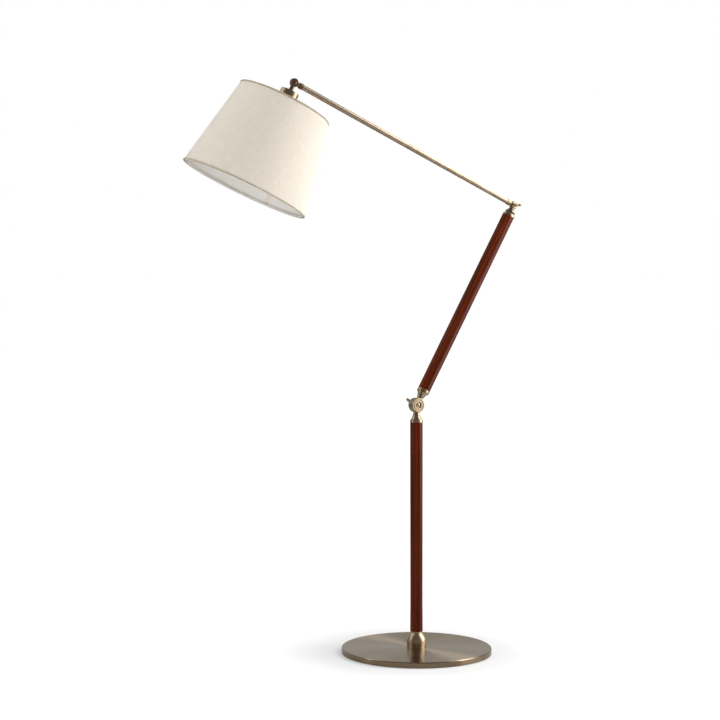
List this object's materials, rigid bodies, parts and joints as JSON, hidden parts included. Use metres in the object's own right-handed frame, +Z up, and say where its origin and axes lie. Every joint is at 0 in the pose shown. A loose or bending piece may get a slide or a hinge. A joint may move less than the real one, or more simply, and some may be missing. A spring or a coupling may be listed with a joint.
{
  "type": "adjustable arm floor lamp",
  "caption": "Floor lamp with a round weighted base, two wooden poles joined by a brass elbow, a thin brass rod and a tapered linen shade on a tilting head.",
  "frame": {"origin": "centre of the base's underside, on the floor", "axes": "+Z up the poles, the upper pole leans towards +X, the rod and shade reach towards -X, the front is -Y"},
  "size_m": [0.9384, 0.4057, 1.4223],
  "materials": {
    "antique_brass": "satin",
    "steel": "satin",
    "wire_steel": "satin",
    "cast_iron": "matte",
    "mahogany": "gloss",
    "felt": "matte",
    "fibre": "matte",
    "black_plastic": "satin",
    "porcelain": "gloss",
    "bulb_metal": "satin",
    "bulb_glass": "matte",
    "styrene": "matte",
    "linen": "matte",
    "linen_tape": "matte"
  },
  "bodies": {
    "base": {"base_cover": "antique_brass", "base_weight": "cast_iron", "base_pad": "felt", "cord_gland": "black_plastic", "base_washer": "steel", "base_nut": "steel", "base_collar": "antique_brass", "lower_pipe": "steel", "lower_pole": "mahogany", "lower_pole_ferrule": "antique_brass", "elbow_lower_hub": "antique_brass", "elbow_bolt": "antique_brass", "elbow_washer": "fibre", "elbow_spring_washer": "steel"},
    "elbow_wing": {"elbow_wing_nut": "antique_brass"},
    "upper_arm": {"elbow_upper_hub": "antique_brass", "upper_pole_bottom_ferrule": "antique_brass", "upper_pipe": "steel", "upper_pole": "mahogany", "upper_pole_top_ferrule": "antique_brass", "top_hub": "antique_brass", "top_bolt": "antique_brass", "top_washer": "fibre"},
    "top_wing": {"top_wing_nut": "antique_brass"},
    "rod": {"rod_hub": "antique_brass", "rod_inner_ferrule": "antique_brass", "brass_rod": "antique_brass", "rod_outer_ferrule": "antique_brass"},
    "head_link": {"head_link": "antique_brass", "swivel_nut": "steel", "head_bolt": "antique_brass", "head_nut": "steel", "head_washer": "fibre"},
    "head": {"head_hub": "antique_brass", "socket_cup": "antique_brass", "stem_nut": "steel", "socket_body": "black_plastic", "socket_core": "porcelain", "socket_sleeve": "fibre", "socket_shell": "antique_brass", "socket_contact": "antique_brass", "bulb_base": "bulb_metal", "bulb_glass": "bulb_glass", "shade_clamp_ring": "black_plastic", "shade_spider": "wire_steel", "shade_bottom_ring": "wire_steel", "shade_liner": "styrene", "shade_linen": "linen", "shade_top_trim": "linen_tape", "shade_bottom_trim": "linen_tape"},
    "switch": {"switch_knob": "black_plastic"}
  },
  "joints": [
    {"name": "elbow_hinge", "type": "hinge", "parent": "base", "child": "upper_arm", "pos_m": [0, 0, 0.629], "axis": [0, 1, 0], "range_deg": [-60, 50]},
    {"name": "elbow_wing_turn", "type": "hinge", "parent": "base", "child": "elbow_wing", "pos_m": [0, 0, 0.629], "axis": [0, 1, 0], "range_deg": [-180, 180]},
    {"name": "top_hinge", "type": "hinge", "parent": "upper_arm", "child": "rod", "pos_m": [0.31281, 0, 1.15583], "axis": [0, 1, 0], "range_deg": [-15, 75]},
    {"name": "top_wing_turn", "type": "hinge", "parent": "upper_arm", "child": "top_wing", "pos_m": [0.31281, 0, 1.15583], "axis": [0, 1, 0], "range_deg": [-180, 180]},
    {"name": "head_swivel", "type": "hinge", "parent": "rod", "child": "head_link", "pos_m": [-0.35608, 0, 1.41126], "axis": [-0.9342, 0, 0.3567], "range_deg": [-78, 102]},
    {"name": "head_tilt", "type": "hinge", "parent": "head_link", "child": "head", "pos_m": [-0.35608, 0, 1.41126], "axis": [0.073, 0.9789, 0.191], "range_deg": [-20, 85]},
    {"name": "switch_turn", "type": "hinge", "parent": "head", "child": "switch", "pos_m": [-0.37624, 0.01108, 1.36218], "axis": [0.073, 0.9789, 0.191], "continuous": true}
  ]
}
